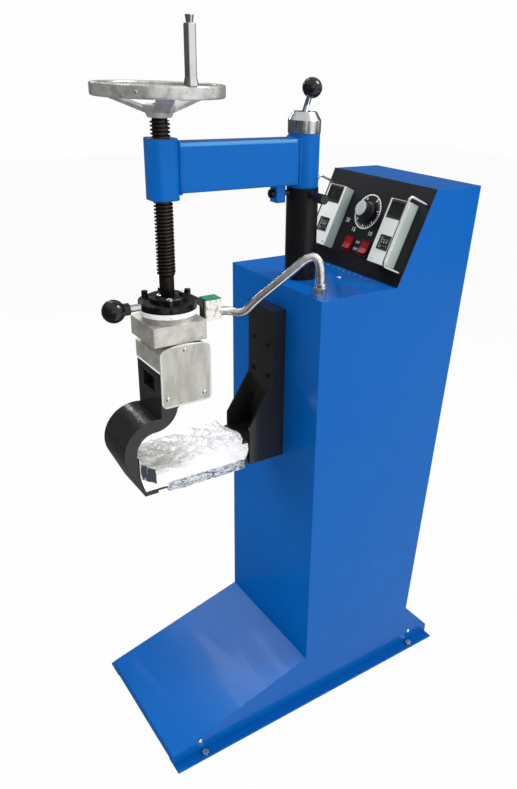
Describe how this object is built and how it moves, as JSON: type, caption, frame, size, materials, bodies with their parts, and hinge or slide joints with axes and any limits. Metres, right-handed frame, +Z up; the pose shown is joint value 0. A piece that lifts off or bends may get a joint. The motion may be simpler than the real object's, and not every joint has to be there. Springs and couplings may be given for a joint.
{
  "type": "rubber mold vulcanizer",
  "caption": "Floor-standing press for vulcanizing rubber: swing arm with a handwheel screw and heated head above a gooseneck mould, on a cabinet with a slanted control panel.",
  "frame": {"origin": "on the floor under the middle of the column's front face", "axes": "+Z up, -Y towards the operator, +X to the operator's right"},
  "size_m": [0.35, 0.715, 1.3738],
  "materials": {
    "blue_paint": "gloss",
    "black_paint": "gloss",
    "panel_black": "satin",
    "instrument_grey": "satin",
    "black_plastic": "matt",
    "red_plastic": "gloss",
    "bright_steel": "bright drawn",
    "nickel_plate": "plated",
    "hose_steel": "corrugated, bright",
    "zinc_steel": "zinc plated",
    "cast_aluminium": "sawn and cast",
    "rolled_aluminium": "mill finish",
    "clear_film": "clear",
    "bronze": "machined",
    "black_steel": "black oxide",
    "polished_chrome": "polished",
    "black_gloss": "gloss",
    "oiled_steel": "oiled",
    "polished_wheel": "polished",
    "white_insulation": "matt",
    "terminal_grey": "matt",
    "green_plastic": "satin",
    "digit_black": "satin"
  },
  "bodies": {
    "pedestal": {"cabinet_shell": "blue_paint", "base_rail_left": "blue_paint", "base_rail_right": "blue_paint", "rail_bolts": "zinc_steel", "rear_door": "blue_paint", "post": "black_paint", "post_beam": "blue_paint", "spine_channel": "black_paint", "control_panel": "panel_black", "temp_controller_left": "instrument_grey", "temp_controller_right": "instrument_grey", "timer_body": "black_plastic", "rocker_frame_left": "black_plastic", "rocker_frame_right": "black_plastic", "panel_handle_left": "bright_steel", "panel_handle_right": "bright_steel", "conduit_gland": "nickel_plate", "conduit_hose": "hose_steel", "mains_gland": "black_plastic", "arm_bracket": "black_paint", "bracket_bolts": "zinc_steel", "lower_arm": "black_paint", "gooseneck": "black_paint", "lower_heater_body": "cast_aluminium", "lower_heating_elements": "bright_steel", "cover_plate": "rolled_aluminium", "protective_film": "clear_film"},
    "arm": {"swing_arm": "blue_paint", "screw_nut": "bronze", "arm_bushings": "bronze", "swing_lock_screw": "black_steel"},
    "lock": {"lock_cap": "polished_chrome", "lever_rod": "polished_chrome", "lever_ball": "black_gloss"},
    "carriage": {"thrust_collar": "bright_steel"},
    "spindle": {"press_screw": "oiled_steel", "handwheel": "polished_wheel", "grip_pin": "polished_chrome"},
    "crank_grip": {"wheel_grip": "polished_chrome"},
    "head": {"head_flange": "black_steel", "retaining_ring": "black_steel", "head_screws": "black_steel", "insulation_ring": "white_insulation", "upper_heater_block": "cast_aluminium", "upper_heating_elements": "bright_steel", "handle_rod": "polished_chrome", "handle_ball": "black_gloss", "terminal_box": "terminal_grey", "terminal_lid": "green_plastic", "terminal_bracket": "black_paint"},
    "post_knob": {"clamp_knob": "black_plastic"},
    "timer_dial": {"timer_knob": "black_plastic"},
    "switch_left": {"rocker_left": "red_plastic"},
    "switch_right": {"rocker_right": "red_plastic"},
    "wheel_digit_left_1": {"digit_left_1": "digit_black"},
    "wheel_digit_left_2": {"digit_left_2": "digit_black"},
    "wheel_digit_left_3": {"digit_left_3": "digit_black"},
    "wheel_digit_right_1": {"digit_right_1": "digit_black"},
    "wheel_digit_right_2": {"digit_right_2": "digit_black"},
    "wheel_digit_right_3": {"digit_right_3": "digit_black"}
  },
  "joints": [
    {"name": "arm_swing", "type": "hinge", "parent": "pedestal", "child": "arm", "pos_m": [0, 0.061, 1.15], "axis": [0, 0, 1], "range_deg": [-40, 60]},
    {"name": "press_travel", "type": "slide", "parent": "arm", "child": "carriage", "axis": [0, 0, 1], "range_m": [0, 0.12], "deforming": ["conduit_hose"]},
    {"name": "screw_spin", "type": "hinge", "parent": "carriage", "child": "spindle", "pos_m": [0, -0.221, 1.1], "axis": [0, 0, 1], "range_deg": [0, 7200]},
    {"name": "grip_spin", "type": "hinge", "parent": "spindle", "child": "crank_grip", "pos_m": [0.09826, -0.21413, 1.32], "axis": [0, 0, 1], "continuous": true},
    {"name": "head_swivel", "type": "hinge", "parent": "carriage", "child": "head", "pos_m": [0, -0.221, 0.92], "axis": [0, 0, 1], "range_deg": [-30, 30]},
    {"name": "arm_lock", "type": "hinge", "parent": "pedestal", "child": "lock", "pos_m": [0, 0.061, 1.21], "axis": [0, 0, 1], "range_deg": [0, 90]},
    {"name": "knob_turn", "type": "hinge", "parent": "pedestal", "child": "post_knob", "pos_m": [0.05, 0.061, 1.091], "axis": [1, 0, 0], "range_deg": [-180, 180]},
    {"name": "timer_turn", "type": "hinge", "parent": "pedestal", "child": "timer_dial", "pos_m": [-0.0025, 0.22361, 1.04505], "axis": [0, -0.9112, 0.4119], "range_deg": [0, 300]},
    {"name": "rocker_left_tilt", "type": "hinge", "parent": "pedestal", "child": "switch_left", "pos_m": [-0.022, 0.19632, 0.97859], "axis": [1, 0, 0], "range_deg": [0, 16]},
    {"name": "rocker_right_tilt", "type": "hinge", "parent": "pedestal", "child": "switch_right", "pos_m": [0.029, 0.19632, 0.97859], "axis": [1, 0, 0], "range_deg": [0, 16]},
    {"name": "digit_left_1_turn", "type": "hinge", "parent": "pedestal", "child": "wheel_digit_left_1", "pos_m": [-0.1008, 0.19428, 1.00201], "axis": [1, 0, 0], "continuous": true},
    {"name": "digit_left_2_turn", "type": "hinge", "parent": "pedestal", "child": "wheel_digit_left_2", "pos_m": [-0.094, 0.19428, 1.00201], "axis": [1, 0, 0], "continuous": true},
    {"name": "digit_left_3_turn", "type": "hinge", "parent": "pedestal", "child": "wheel_digit_left_3", "pos_m": [-0.0872, 0.19428, 1.00201], "axis": [1, 0, 0], "continuous": true},
    {"name": "digit_right_1_turn", "type": "hinge", "parent": "pedestal", "child": "wheel_digit_right_1", "pos_m": [0.0932, 0.19428, 1.00201], "axis": [1, 0, 0], "continuous": true},
    {"name": "digit_right_2_turn", "type": "hinge", "parent": "pedestal", "child": "wheel_digit_right_2", "pos_m": [0.1, 0.19428, 1.00201], "axis": [1, 0, 0], "continuous": true},
    {"name": "digit_right_3_turn", "type": "hinge", "parent": "pedestal", "child": "wheel_digit_right_3", "pos_m": [0.1068, 0.19428, 1.00201], "axis": [1, 0, 0], "continuous": true}
  ],
  "couplings": [
    {"joint": "screw_spin", "follows": "press_travel", "rad_per_m": 1047.2}
  ]
}
